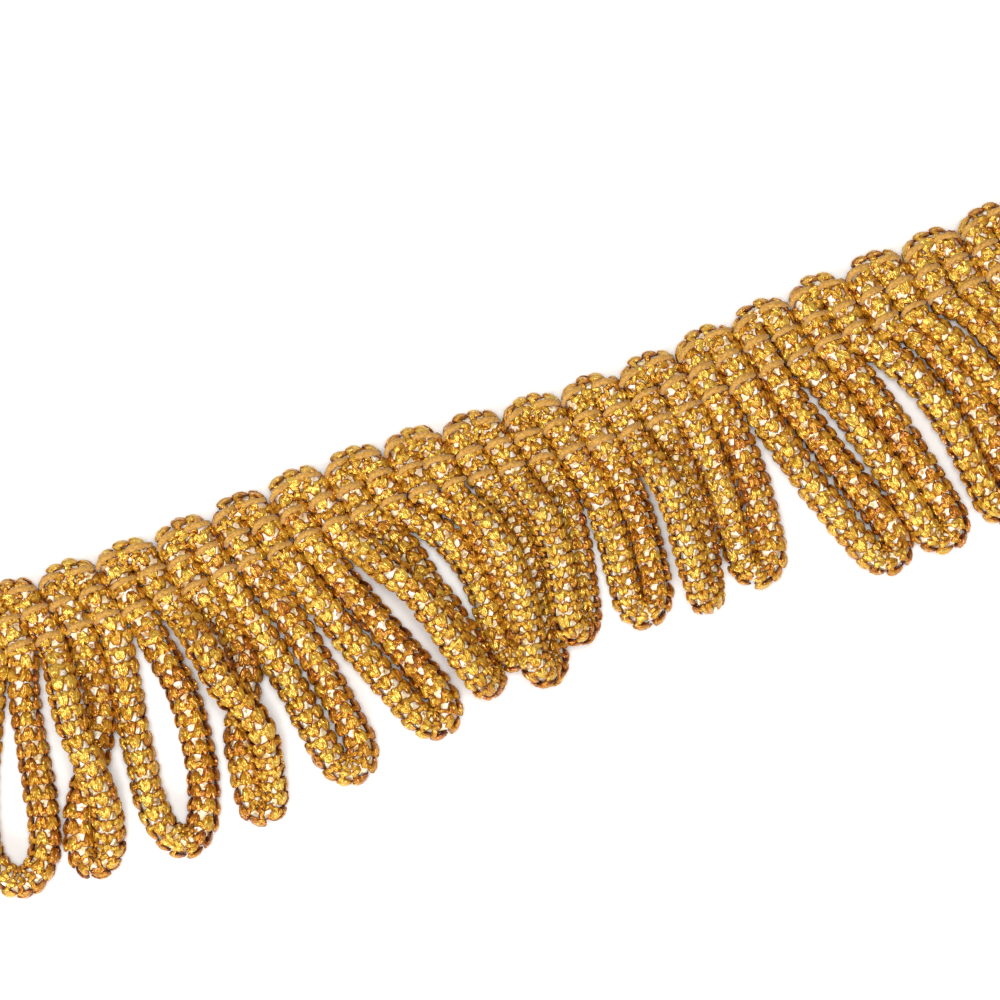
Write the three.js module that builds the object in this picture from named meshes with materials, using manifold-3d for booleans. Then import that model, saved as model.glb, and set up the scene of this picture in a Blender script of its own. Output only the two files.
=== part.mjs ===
// A cut length of metallic loop fringe, lying flat on a surface.
// One knitted cord runs up and down through the heading, three rows of chain stitch bind it
// there, and between two turns it hangs out as a free loop.
// Millimetres, +Z up. +X runs along the heading and the loops point to -Y.
import * as THREE from 'three';
import { mergeVertices } from 'three/addons/utils/BufferGeometryUtils.js';
import Module from 'manifold-3d';

// Driving dimensions
const PITCH = 6.7;                 // from one turn of the cord to the next along the heading
const LEG = PITCH / 2;             // from one pass of the cord through the heading to the next
const TURNS = 21;                  // turns of the cord at the top edge
const FIRST_TURN_X = -71.65;       // middle of the first turn, in the drawing's frame
const CORD_LEAN = 9;               // degrees that the cord leans inside the heading
const CORD_WIDTH = 3.0;            // core of the knitted cord
const CORD_HEIGHT = 2.8;
const GAP = 0.3;                   // clear space between pieces that touch on the real thing
const LIFT = CORD_HEIGHT + GAP;    // height that a cord gains where it lies on another

const HEADING_DEPTH = 7.3;         // from the mean top edge to the heading's lower edge
const SCALLOP = 0.55;              // height of the scallops above and below that mean edge
const GROOVE_HEIGHT = 2.0;         // heading's thickness between two cords
const EDGE_HEIGHT = 0.9;           // thickness left at the rim of a turn
const ROUND_OVER = 1.3;            // width over which the rim rounds over
const RIM_DEPTHS = [0, 0.35, 1.3, 2.8];   // depths below the rim of the heading's long facets
const BRIDGE_FROM = 1.0;           // down to here the turn bridges its two legs
const BRIDGE_TO = 2.8;             // from here down they are two separate ribs
const RIB_STEPS = 4;               // columns of facets to each rib

const STRIP_TOP = HEADING_DEPTH + GAP;
const STRIP_DEPTH = 1.5;           // narrow strip that the loops' roots are fused into
const STRIP_HEIGHT = 2.2;
const ROOT_DEPTH = 7.1;            // depth at which a loop's own reach is measured from
const ROOT_INSET = 0.6;            // how far below its upper edge a root starts in the strip

const THREAD_WIDTH = 0.75;
const THREAD_HEIGHT = 0.55;
const THREAD_SLANT = 0.45;         // rise of each stitch along the row
const THREAD_CLEARANCE = 0.4;      // straight up from the ribs, so about GAP on their flanks
const ROW_DEPTHS = { top: 1.1, middle: 3.8, lower: 6.3 };

// The heading doesn't run straight: a long bend and a shallow wave, as it lies.
const BEND_LENGTH = 117.2;
const BEND_DIP = 18.1;
const BEND_CROWN = 3.6;
const WAVE = { height: 0.6, length: 52, low: -43, drop: 0.4 };

// Middle of the whole part in the drawing's frame, which becomes X = Y = 0.
const CENTRE = { x: -3.15, y: -17.11 };

// One row for each loop, from left to right:
// nudge   mm that its root is off the even pitch
// reach   mm from the root to the middle of its turn
// lean    degrees from straight down, to the right
// sway    mm that it bows out to the right
// gape    mm between its two legs where they are widest, minus when they have crossed
// round   mm that the turn at its end takes up
// opens, opened   where along the reach the legs start and finish changing their spacing
// lies    flat, crossed, stacked (one leg on the other) or over (left leg on its neighbour)
const COLUMNS = ['nudge', 'reach', 'lean', 'sway', 'gape', 'round', 'opens', 'opened', 'lies'];
const LOOPS = [
  [0.0, 24.3, -19, 0.2, 3.6, 2.5, 0.00, 0.60, 'flat'],
  [0.0, 24.8, -18, -0.2, 6.0, 5.5, 0.10, 0.80, 'flat'],
  [0.0, 25.5, -14, 1.1, -3.6, 2.0, 0.28, 0.76, 'crossed'],
  [0.0, 25.7, -6, 0.3, 6.5, 8.5, 0.00, 0.60, 'flat'],
  [0.0, 25.3, -2, 2.2, -3.7, 2.5, 0.34, 0.72, 'crossed'],
  [-0.1, 25.4, 8, 0.8, 3.8, 3.0, 0.00, 0.60, 'flat'],
  [0.0, 25.6, 17, 0.3, 4.3, 3.5, 0.00, 0.60, 'flat'],
  [0.0, 23.3, 19, 1.2, 1.0, 1.7, 0.15, 0.60, 'stacked'],
  [0.0, 20.5, 13, 1.7, 3.3, 2.0, 0.00, 0.60, 'flat'],
  [-0.2, 22.2, 2, 2.1, 3.0, 1.8, 0.00, 0.60, 'over'],
  [-0.3, 18.4, -1, 1.2, 3.3, 2.5, 0.00, 0.60, 'over'],
  [0.1, 18.7, -3, 1.6, 4.0, 4.0, 0.10, 0.70, 'flat'],
  [-0.1, 20.0, -1, 1.6, 0.0, 1.7, 0.10, 0.80, 'stacked'],
  [-0.2, 19.3, -2, 1.6, 4.0, 3.0, 0.00, 0.60, 'flat'],
  [-0.1, 24.4, 15, 0.4, 4.0, 2.5, 0.00, 0.60, 'flat'],
  [-0.1, 24.8, 14, 1.6, 3.5, 2.0, 0.00, 0.60, 'flat'],
  [-0.2, 24.8, 18, 2.0, 4.0, 2.5, 0.00, 0.60, 'flat'],
  [-0.1, 25.2, 19, 1.6, 3.4, 2.0, 0.00, 0.60, 'flat'],
  [0.0, 25.5, 20, 1.4, 3.8, 2.5, 0.00, 0.60, 'flat'],
  [0.0, 25.0, 20, 1.4, 3.6, 2.5, 0.00, 0.60, 'flat'],
].map((row) => Object.fromEntries(COLUMNS.map((name, i) => [name, row[i]])));

// Where along its reach the leg on top climbs, and where it has come down again.
// A leg that never comes down before the turn does so in the turn itself.
const CLIMBS = {
  flat: null,
  crossed: { from: 0.04, up: 0.28, leaves: 0.76, down: 0.92 },
  stacked: { from: 0.02, up: 0.34, leaves: 1, down: 2 },
  over: { from: 0.02, up: 0.34, leaves: 1, down: 2 },
};

const LEG_STEPS = 11;              // sections along each leg of a loop
const TURN_STEPS = 5;              // sections round each half of its turn
const BOW_SHAPE = 5.38;            // makes the bow's greatest value 1, at 0.4 of the reach
const BOW_FALL = 1.5;
const NARROWEST = 1.1;             // width of a strand squeezed between its neighbours
const INNER_RADIUS = 0.15;         // least radius left on the inside of a turn
const LEVEL_SLACK = 0.05;          // strands this close to one LIFT apart clear each other
const SHORTEST_EDGE = 0.01;        // facets finer than this are taken out where bodies fuse

const radians = THREE.MathUtils.degToRad;
const smooth = (from, to, value) => THREE.MathUtils.smoothstep(value, from, to);

// Height of the heading's mean top edge at a place along it
function topEdge(x) {
  const s = x / BEND_LENGTH + 0.5;
  const bend = -s * (1 - s) * (BEND_DIP * s - BEND_CROWN);
  const wave = WAVE.height * Math.cos((2 * Math.PI * (x - WAVE.low)) / WAVE.length);
  return bend - wave - WAVE.drop;
}

// A point of the heading, by its place along the top edge and its depth below it
function headingPoint(x, depth) {
  return { x: x + depth * Math.tan(radians(CORD_LEAN)), y: topEdge(x) - depth };
}

// Geometry from a list of coordinates and a list of corner numbers
function mesh(positions, faces) {
  const geometry = new THREE.BufferGeometry();
  geometry.setAttribute('position', new THREE.Float32BufferAttribute(positions, 3));
  geometry.setIndex(faces);
  return geometry;
}

// Solid from columns set out along +X: each has points from its top edge downwards, with a
// height and a straight underside
function slab(columns) {
  const across = columns[0].length;
  const stride = across + 2;
  const positions = [];
  for (const column of columns) {
    const ends = [column[0], column[across - 1]];
    column.forEach((point) => positions.push(point.x, point.y, point.top));
    ends.forEach((point) => positions.push(point.x, point.y, point.bottom ?? 0));
  }
  const top = (i, j) => i * stride + j;
  const upper = (i) => i * stride + across;
  const lower = (i) => i * stride + across + 1;
  const faces = [];
  const quad = (a, b, c, d) => faces.push(a, b, c, a, c, d);
  const last = columns.length - 1;
  for (let i = 0; i < last; i += 1) {
    for (let j = 0; j < across - 1; j += 1) {
      quad(top(i, j), top(i, j + 1), top(i + 1, j + 1), top(i + 1, j));
    }
    quad(upper(i), upper(i + 1), lower(i + 1), lower(i));
    quad(top(i, 0), top(i + 1, 0), upper(i + 1), upper(i));
    quad(top(i, across - 1), lower(i), lower(i + 1), top(i + 1, across - 1));
  }
  for (let j = 0; j < across - 1; j += 1) {
    faces.push(upper(0), top(0, j + 1), top(0, j));
    faces.push(upper(last), top(last, j), top(last, j + 1));
  }
  faces.push(upper(0), lower(0), top(0, across - 1));
  faces.push(upper(last), top(last, across - 1), lower(last));
  return mesh(positions, faces);
}

// Place along the heading, counted in turns from the middle of the nearest turn
function fromTurn(x) {
  const turns = (x - FIRST_TURN_X) / PITCH;
  return turns - Math.round(turns);
}

// Depth of the scalloped rim below the mean top edge
function rimDepth(x) {
  return SCALLOP * (1 - 2 * Math.sqrt(Math.abs(Math.cos(Math.PI * fromTurn(x)))));
}

// Thickness of the heading: a bridge over each turn near the rim, two ribs further down
function headingHeight(x, depth) {
  const belowRim = Math.max(0, depth - rimDepth(x));
  const bridge = Math.abs(Math.cos(Math.PI * fromTurn(x)));
  const ribs = Math.abs(Math.sin(2 * Math.PI * fromTurn(x)));
  const ridge = THREE.MathUtils.lerp(bridge, ribs, smooth(BRIDGE_FROM, BRIDGE_TO, belowRim));
  const full = THREE.MathUtils.lerp(GROOVE_HEIGHT, CORD_HEIGHT, Math.sqrt(ridge));
  const rounded = Math.sqrt(Math.min(1, belowRim / ROUND_OVER));
  return THREE.MathUtils.lerp(EDGE_HEIGHT, full, rounded);
}

// Columns set out along the whole heading, each one made by the function given
function alongHeading(steps, makeColumn) {
  const start = FIRST_TURN_X - PITCH / 2;
  const count = TURNS * 2 * steps;
  return Array.from({ length: count + 1 }, (_, i) => makeColumn(start + (i * LEG) / steps, i));
}

function headingGeometry() {
  return slab(alongHeading(RIB_STEPS, (x) => {
    const depths = [...RIM_DEPTHS.map((depth) => rimDepth(x) + depth), HEADING_DEPTH];
    return depths.map((depth) => ({ ...headingPoint(x, depth), top: headingHeight(x, depth) }));
  }));
}

// One binding thread: a slanting stitch over each rib, level across its own width
function bindingRowGeometry(rowDepth) {
  return slab(alongHeading(RIB_STEPS, (x, i) => {
    const slant = THREAD_SLANT * (1 - 2 * ((i % RIB_STEPS) / RIB_STEPS));
    const depths = [-0.5, 0, 0.5].map((side) => rowDepth + slant + side * THREAD_WIDTH);
    const ribs = Math.max(...depths.map((depth) => headingHeight(x, depth)));
    const bottom = ribs + THREAD_CLEARANCE;
    const top = bottom + THREAD_HEIGHT;
    return [depths[0], depths[2]].map((depth) => ({ ...headingPoint(x, depth), bottom, top }));
  }));
}

// Strip just below the heading that the loops grow out of
function stripGeometry() {
  return slab(alongHeading(1, (x) => (
    [0, STRIP_DEPTH].map((depth) => ({ ...headingPoint(x, STRIP_TOP + depth), top: STRIP_HEIGHT }))
  )));
}

// Half the distance between a loop's legs, minus once they have crossed
function halfSpacing(loop, along) {
  const opened = smooth(loop.opens, loop.opened, along / loop.reach);
  return THREE.MathUtils.lerp(LEG / 2, loop.gape / 2, opened);
}

// A point of a loop: how far along its reach, how far across, and its share of the climb
function loopPoint(loop, index, along, across, share) {
  const t = along / loop.reach;
  const root = headingPoint(FIRST_TURN_X + (index + 0.5) * PITCH + loop.nudge, ROOT_DEPTH);
  const lean = radians(loop.lean);
  const aside = across + loop.sway * BOW_SHAPE * t * Math.max(0, 1 - t) ** BOW_FALL;
  const climb = CLIMBS[loop.lies];
  const raised = climb ? smooth(climb.from, climb.up, t) - smooth(climb.leaves, climb.down, t) : 0;
  return new THREE.Vector3(
    root.x + Math.sin(lean) * along + Math.cos(lean) * aside,
    root.y - Math.cos(lean) * along + Math.sin(lean) * aside,
    CORD_HEIGHT / 2 + LIFT * raised * share,
  );
}

// Middle line of a loop: down its left leg, round the turn and up its right leg
function loopPath(loop, index) {
  const straight = loop.reach - loop.round;
  const rootDepth = STRIP_TOP + ROOT_INSET;
  const start = (rootDepth - ROOT_DEPTH) / Math.cos(radians(loop.lean));
  const stations = [];
  for (let i = 0; i < LEG_STEPS; i += 1) {
    const along = THREE.MathUtils.lerp(start, straight, i / LEG_STEPS);
    stations.push({ along, half: halfSpacing(loop, along), turned: 0 });
  }
  for (let i = 0; i <= TURN_STEPS; i += 1) {
    const turned = (Math.PI / 2) * (i / TURN_STEPS);
    const along = straight + loop.round * Math.sin(turned);
    stations.push({ along, half: halfSpacing(loop, straight) * Math.cos(turned), turned });
  }
  const leg = (side) => stations.map(({ along, half, turned }) => (
    loopPoint(loop, index, along, side * half, (1 - side * Math.cos(turned)) / 2)
  ));
  const path = [...leg(-1), ...leg(1).reverse().slice(1)];
  for (const root of [path[0], path[path.length - 1]]) {
    root.y = headingPoint(root.x - rootDepth * Math.tan(radians(CORD_LEAN)), rootDepth).y;
  }
  return path;
}

// Level distance from a strand's section to a path, unless one of them clears the other
function roomBeside(own, k, path) {
  const level = own[k].clone().setZ(0);
  const lowest = Math.min(...own.slice(Math.max(0, k - 1), k + 2).map((point) => point.z));
  let room = Infinity;
  for (let n = 0; n < path.length - 1; n += 1) {
    const line = new THREE.Line3(path[n].clone().setZ(0), path[n + 1].clone().setZ(0));
    const t = line.distanceSq() > 0 ? line.closestPointToPointParameter(level, true) : 0;
    const height = Math.min(path[n].z, path[n + 1].z);
    const clears = Math.abs(height - lowest) > LIFT - LEVEL_SLACK;
    room = clears ? room : Math.min(room, line.at(t, new THREE.Vector3()).distanceTo(level));
  }
  return room;
}

// Distance between a loop's own legs where they lie side by side
function roomInside(path, k) {
  const last = path.length - 1;
  const m = Math.min(k, last - k, LEG_STEPS);
  const clears = Math.abs(path[m].z - path[last - m].z) > LIFT - LEVEL_SLACK;
  return clears ? Infinity : path[m].clone().setZ(0).distanceTo(path[last - m].clone().setZ(0));
}

// Radius of the bend at a point of a path, seen from above
function bendRadius(path, k) {
  const [a, b, c] = [path[k - 1], path[k], path[k + 1]].map((point) => point.clone().setZ(0));
  const area = new THREE.Triangle(a, b, c).getArea();
  return (a.distanceTo(b) * b.distanceTo(c) * c.distanceTo(a)) / (4 * Math.max(area, 1e-6));
}

function inTurn(path, k) {
  return k > LEG_STEPS && k < path.length - 1 - LEG_STEPS;
}

// A strand is as wide as the cord, unless its neighbours or its own bend leave less room
function strandWidth(paths, index, k) {
  const path = paths[index];
  const beside = paths.filter((_, other) => other !== index).map((other) => roomBeside(path, k, other));
  const room = Math.min(...beside, roomInside(path, k)) - GAP;
  const levelTurn = inTurn(path, k) && LOOPS[index].lies !== 'stacked';
  const bend = levelTurn ? bendRadius(path, k) : Infinity;
  return THREE.MathUtils.clamp(Math.min(room, 2 * (bend - INNER_RADIUS)), NARROWEST, CORD_WIDTH);
}

// Direction across a strand: level, or fixed for a loop whose turn stands upright
function acrossStrand(path, index, k, tangent) {
  const last = path.length - 1;
  const { lies, lean } = LOOPS[index];
  if (k === 0 || k === last) {
    const rise = topEdge(path[k].x + 0.5) - topEdge(path[k].x - 0.5);
    const turnedBack = k === last && lies !== 'stacked';
    return new THREE.Vector3(1, rise, 0).normalize().multiplyScalar(turnedBack ? -1 : 1);
  }
  if (lies === 'stacked') {
    return new THREE.Vector3(Math.cos(radians(lean)), Math.sin(radians(lean)), 0);
  }
  return new THREE.Vector3(-tangent.y, tangent.x, 0).normalize();
}

// Direction of a strand's thickness: straight up, or outwards in a turn that stands upright
function upStrand(path, index, k, tangent, across) {
  if (LOOPS[index].lies !== 'stacked') {
    return new THREE.Vector3(0, 0, 1);
  }
  const up = tangent.clone().cross(across).normalize();
  return inTurn(path, k) ? up : new THREE.Vector3(0, 0, Math.sign(up.z));
}

// Four-sided strand along a loop's path
function strandGeometry(paths, index) {
  const path = paths[index];
  const last = path.length - 1;
  const positions = [];
  const faces = [0, 2, 1, 0, 3, 2];
  path.forEach((point, k) => {
    const ends = [path[Math.max(0, k - 1)], path[Math.min(last, k + 1)]];
    const tangent = ends[1].clone().sub(ends[0]).normalize();
    const across = acrossStrand(path, index, k, tangent);
    const up = upStrand(path, index, k, tangent, across);
    const width = strandWidth(paths, index, k);
    for (const [a, u] of [[-0.5, -0.5], [0.5, -0.5], [0.5, 0.5], [-0.5, 0.5]]) {
      const corner = point.clone().addScaledVector(across, a * width).addScaledVector(up, u * CORD_HEIGHT);
      positions.push(...corner.toArray());
    }
  });
  for (let k = 0; k < last; k += 1) {
    for (let side = 0; side < 4; side += 1) {
      const a = 4 * k + side;
      const b = 4 * k + ((side + 1) % 4);
      faces.push(a, b, b + 4, a, b + 4, a + 4);
    }
  }
  const end = 4 * last;
  faces.push(end, end + 1, end + 2, end, end + 2, end + 3);
  return mesh(positions, faces);
}

// Fuses solids that overlap into one body
const wasm = await Module();
wasm.setup();

function solid(geometry) {
  const merged = mergeVertices(geometry);
  return new wasm.Manifold(new wasm.Mesh({
    numProp: 3,
    vertProperties: new Float32Array(merged.attributes.position.array),
    triVerts: new Uint32Array(merged.index.array),
  }));
}

function fringeGeometry() {
  const paths = LOOPS.map(loopPath);
  const strands = paths.map((_, index) => solid(strandGeometry(paths, index)));
  const fused = strands.reduce((joined, strand) => joined.add(strand), solid(stripGeometry()));
  const { vertProperties, triVerts } = fused.simplify(SHORTEST_EDGE).getMesh();
  return mesh(vertProperties, Array.from(triVerts));
}

// The whole trim
const trim = new THREE.Group();
trim.name = 'metallic_loop_fringe';

function addPart(name, geometry, material) {
  const part = new THREE.Mesh(geometry, material);
  part.name = name;
  trim.add(part);
}

const cord = () => new THREE.MeshStandardMaterial({ color: '#c98f1c', metalness: 0.8, roughness: 0.35 });
const thread = () => new THREE.MeshStandardMaterial({ color: '#d0a04a', metalness: 0, roughness: 0.8 });
addPart('heading', headingGeometry(), cord());
addPart('binding_row_top', bindingRowGeometry(ROW_DEPTHS.top), thread());
addPart('binding_row_middle', bindingRowGeometry(ROW_DEPTHS.middle), thread());
addPart('binding_row_lower', bindingRowGeometry(ROW_DEPTHS.lower), thread());
addPart('loop_fringe', fringeGeometry(), cord());
trim.position.set(-CENTRE.x, -CENTRE.y, 0);

export default trim;
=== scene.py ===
# %% [markdown]
# Metallic loop fringe, lying flat on a white table.
#
# The trim is worked from one cord, which is knitted as a narrow tube of six columns of
# stitches from metallised film yarn. The cord runs up and down through the heading, turns at
# the top edge, and hangs out between two turns as a free loop. Three rows of chain stitch in a
# matte yarn hold it together in the heading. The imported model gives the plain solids. This
# script dresses them: it lays the same cord along the same paths and knits it, stitch by stitch.

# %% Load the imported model
import math

import bpy
import numpy as np
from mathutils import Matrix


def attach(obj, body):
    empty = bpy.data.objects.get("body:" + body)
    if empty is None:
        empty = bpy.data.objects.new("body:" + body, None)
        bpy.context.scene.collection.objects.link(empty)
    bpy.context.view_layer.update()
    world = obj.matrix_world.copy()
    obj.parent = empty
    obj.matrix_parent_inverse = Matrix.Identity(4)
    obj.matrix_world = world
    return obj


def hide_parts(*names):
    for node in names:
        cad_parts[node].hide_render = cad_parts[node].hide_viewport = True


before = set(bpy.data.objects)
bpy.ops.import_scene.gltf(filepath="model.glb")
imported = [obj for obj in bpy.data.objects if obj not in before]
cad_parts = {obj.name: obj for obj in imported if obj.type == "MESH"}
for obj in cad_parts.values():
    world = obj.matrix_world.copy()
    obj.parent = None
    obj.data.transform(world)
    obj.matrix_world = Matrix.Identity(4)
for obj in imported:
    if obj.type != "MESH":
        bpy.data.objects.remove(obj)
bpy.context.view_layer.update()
MM = 0.001
rng = np.random.default_rng(21)
print("solids:", sorted(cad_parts))

# %% [markdown]
# Two helpers serve every material. Colours are given as sRGB hex values, the way that a paint
# chart gives them, and Blender wants linear light, so one function turns them. The other adds
# one shader node with its settings and its links.

# %% Helpers for colours and shader nodes
def linear(hex_value, alpha=1.0):
    channels = [int(hex_value[i:i + 2], 16) / 255 for i in (1, 3, 5)]
    return [c / 12.92 if c <= 0.04045 else ((c + 0.055) / 1.055) ** 2.4 for c in channels] + [alpha]


def add_node(material, kind, settings=None, inputs=None):
    """Adds a node. Settings are its properties, and an input is a value or another socket."""
    node = material.node_tree.nodes.new(kind)
    for name, value in (settings or {}).items():
        setattr(node, name, value)
    for name, value in (inputs or {}).items():
        if isinstance(value, bpy.types.NodeSocket):
            material.node_tree.links.new(value, node.inputs[name])
        else:
            node.inputs[name].default_value = value
    return node


def new_material(name):
    material = bpy.data.materials.new(name)
    material.use_nodes = True
    material.node_tree.nodes.clear()
    return material


def finish_material(material, shader):
    output = add_node(material, "ShaderNodeOutputMaterial")
    material.node_tree.links.new(shader.outputs[0], output.inputs["Surface"])
    return material


print("pure yellow in linear light:", [round(v, 3) for v in linear("#FFFF00")])

# %% [markdown]
# The photograph looks straight down, turned so that the heading climbs to the right. A long
# lens from 0.6 m keeps it free of perspective. One pixel is 0.109 mm, so the frame is 109 mm
# wide, and its middle is a point of the table that was worked out along with that scale.

# %% Camera
PHOTO_WIDTH = 109.0 * MM
PHOTO_TURN = math.radians(21.5)
PHOTO_MIDDLE = (-1.27 * MM, 5.89 * MM)
CAMERA_HEIGHT = 0.6
SENSOR = 36.0

camera_data = bpy.data.cameras.new("camera")
camera_data.sensor_width = SENSOR
camera_data.lens = SENSOR * CAMERA_HEIGHT / PHOTO_WIDTH
camera = bpy.data.objects.new("camera", camera_data)
camera.location = (*PHOTO_MIDDLE, CAMERA_HEIGHT)
camera.rotation_euler = (0, 0, -PHOTO_TURN)
bpy.context.scene.collection.objects.link(camera)
bpy.context.scene.camera = camera
print("lens, mm:", round(camera_data.lens, 1))

# %% [markdown]
# The floor is a plain white table, and the light is that of a product photograph: one large
# soft box above, a long low one in front, a weak one on the left, and a dim grey room. A
# metallic yarn shows little but what it reflects, so the boxes give the glints and the dim
# room gives the brown between them.

# %% Floor and lights
FLOOR_SIZE = 4.0
FLOOR_DROP = 0.05 * MM          # the table lies a hair under the part, so that no faces coincide
ROOM_LIGHT = 0.42


def soft_box(name, place, size, power, aim=(0, 0, 0)):
    """A rectangular light at a place in metres, turned so that it faces the aim."""
    light = bpy.data.lights.new(name, "AREA")
    light.shape = "RECTANGLE"
    light.size, light.size_y = size
    light.energy = power
    lamp = bpy.data.objects.new(name, light)
    lamp.location = place
    x, y, z = (place[i] - aim[i] for i in range(3))
    lamp.rotation_euler = (math.atan2(math.hypot(x, y), z), 0, math.atan2(x, -y))
    bpy.context.scene.collection.objects.link(lamp)


bpy.ops.mesh.primitive_plane_add(size=FLOOR_SIZE, location=(0, 0, -FLOOR_DROP))
floor = bpy.context.object
floor.name = "table"
white_table = new_material("white_laminate")
finish_material(white_table, add_node(white_table, "ShaderNodeBsdfPrincipled", inputs={
    "Base Color": linear("#F6F5F3"), "Roughness": 0.6}))
floor.data.materials.append(white_table)

soft_box("box_above", (0.0, 0.1, 0.9), (0.45, 0.45), 6.8)
soft_box("box_front", (-0.26, -0.58, 0.42), (0.5, 0.16), 3.7)
soft_box("box_left", (-0.55, 0.1, 0.35), (0.12, 0.4), 1.0)

world = bpy.data.worlds.new("studio")
world.use_nodes = True
background = world.node_tree.nodes["Background"]
background.inputs["Color"].default_value = linear("#E8E6E2")
background.inputs["Strength"].default_value = ROOM_LIGHT
bpy.context.scene.world = world
bpy.context.scene.view_settings.view_transform = "Standard"

# %% [markdown]
# These are the trim's driving sizes, the same as in the solids' source, in millimetres and in
# the drawing's frame: +X along the heading, loops towards -Y. Only the last step of each piece
# moves it to the model's origin and turns it into metres.

# %% Sizes of the trim
PITCH = 6.7                     # from one turn of the cord to the next
LEG = PITCH / 2
TURNS = 21
FIRST_TURN_X = -71.65
CORD_LEAN = math.radians(9)
LIFT = 3.1                      # height that a cord gains where it lies on another
ROOT_DEPTH = 7.1                # depth at which a loop's own reach is measured from
HEADING_DEPTH = 7.3
BEND_LENGTH, BEND_DIP, BEND_CROWN = 117.2, 18.1, 3.6            # the heading's long, slight bend
WAVE_HEIGHT, WAVE_LENGTH, WAVE_LOW, WAVE_DROP = 0.6, 52, -43, 0.4   # and the waves in it
CENTRE = np.array([-3.15, -17.11, 0.0])     # the model's origin in the drawing's frame

CORD_RADIUS = 1.74              # over the stitches, sideways
CORD_HALF_HEIGHT = 1.5          # the tube is a little flattened where it lies
COURSE = 1.62                   # from one course of stitches to the next
TIGHT_COURSE = 1.28             # the same where the cord is knitted tighter
BENT_COURSE = 1.05              # the same in a turn, where the inner stitches bunch up
WALES = 6                       # columns of stitches round the cord


def smooth(start, end, value):
    t = np.clip((np.asarray(value, float) - start) / (end - start), 0, 1)
    return t * t * (3 - 2 * t)


def top_edge(x):
    s = x / BEND_LENGTH + 0.5
    bend = -s * (1 - s) * (BEND_DIP * s - BEND_CROWN)
    return bend - WAVE_HEIGHT * np.cos(2 * np.pi * (x - WAVE_LOW) / WAVE_LENGTH) - WAVE_DROP


def heading_point(x, depth):
    """Points by their place along the top edge and their depth below it."""
    x, depth = np.broadcast_arrays(np.asarray(x, float), np.asarray(depth, float))
    return np.stack([x + depth * math.tan(CORD_LEAN), top_edge(x) - depth], axis=-1)


print("the heading is", round(TURNS * PITCH, 1), "mm long")

# %% [markdown]
# Every loop lies in its own way. The table has one row for each, from left to right, with the
# same columns as the solids' source: how far its root is off the even pitch, its reach from
# the root to its turn, its lean in degrees, how far it bows out, how wide it gapes (minus when
# its legs have crossed), the length that its turn takes up, where its legs start and finish
# opening, and how it lies. Some values differ a little from the solids' source, which moves a
# loop by up to about 1 mm, because the knitted cord is not as even as a plain solid. The last
# two columns are for the knitting alone: how far the cord is turned about its own axis in the
# left and the right leg, in degrees. At 0 one column of stitches faces up, and at 30 two of
# them share the view.
#
# A loop that lies on another cord climbs and comes down again. The second table gives the
# shares of its reach between which it rises and falls. Past 1 it never comes down.

# %% The loops
COLUMNS = "nudge reach lean sway gape round opens opened lies left_turned right_turned".split()
LOOPS = [dict(zip(COLUMNS, row)) for row in [
    (0.0, 24.3, -19, 0.2, 3.6, 2.5, 0.00, 0.60, "flat", 0, 7),
    (0.0, 24.8, -18, -0.2, 6.1, 5.2, 0.05, 0.80, "flat", 7, 0),
    (0.0, 25.2, -13.7, 1.1, -3.3, 2.6, 0.30, 0.84, "crossed", 3, 27),
    (0.0, 25.7, -5.7, 0.85, 6.4, 8.0, 0.00, 0.50, "flat", 0, 27),
    (0.0, 25.3, -0.2, 2.1, -2.8, 2.5, 0.34, 0.72, "crossed", 23, 0),
    (-0.1, 25.2, 9.3, 0.5, 3.8, 3.0, 0.00, 0.60, "flat", 0, 10),
    (0.0, 25.0, 18.6, -0.2, 3.7, 3.0, 0.00, 0.60, "flat", 7, 23),
    (0.0, 23.3, 19.3, 1.1, 1.3, 1.7, 0.15, 0.50, "stacked", 0, 13),
    (0.0, 20.5, 12.8, 2.7, 2.7, 2.0, 0.00, 0.60, "flat", 20, 0),
    (-0.2, 22.2, 1.7, 2.1, 2.2, 1.8, 0.00, 0.60, "over", 0, 20),
    (-0.3, 18.6, -3.4, 1.5, 2.2, 2.0, 0.00, 0.60, "over", 7, 0),
    (0.1, 18.9, -1.9, 0.9, 3.5, 2.7, 0.10, 0.70, "flat", 0, 13),
    (-0.1, 20.0, -1.6, 1.15, 1.9, 12.0, 0.10, 0.40, "stacked", 3, 20),
    (-0.2, 19.3, -1.7, 0.8, 3.6, 2.8, 0.00, 0.60, "flat", 27, 0),
    (-0.1, 24.4, 15.4, -0.4, 3.75, 2.7, 0.00, 0.60, "flat", 7, 23),
    (-0.1, 24.8, 14.6, 0.8, 3.3, 2.0, 0.00, 0.60, "flat", 0, 7),
    (-0.2, 24.8, 17.0, 2.4, 3.45, 2.5, 0.00, 0.60, "flat", 23, 0),
    (-0.1, 25.2, 18.8, 1.7, 3.15, 2.0, 0.00, 0.60, "flat", 0, 13),
    (0.0, 25.5, 20, 1.4, 3.8, 2.5, 0.00, 0.60, "flat", 10, 0),
    (0.0, 25.0, 20, 1.4, 3.6, 2.5, 0.00, 0.60, "flat", 0, 0),
]]
CLIMBS = {
    "crossed": (0.04, 0.28, 0.58, 0.96),
    "stacked": (0.02, 0.34, 1, 2),
    "over": (0.02, 0.34, 1, 2),
}
BOW_SHAPE, BOW_FALL = 5.38, 1.5     # a bow is fullest at two fifths of the reach
STEP = 0.25                     # mm between two stations of the cord's axis
print(len(LOOPS), "loops")

# %% [markdown]
# The axis of the cord comes first. It is worked out as one long chain of stations: up a leg of
# the heading, round the turn at the top, down the next leg, and out into a loop. A leg of a
# loop leaves the heading along the heading's own lean and bends into the loop's over a few
# millimetres. Where a loop lies on another cord, its left leg is the one that climbs.

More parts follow.
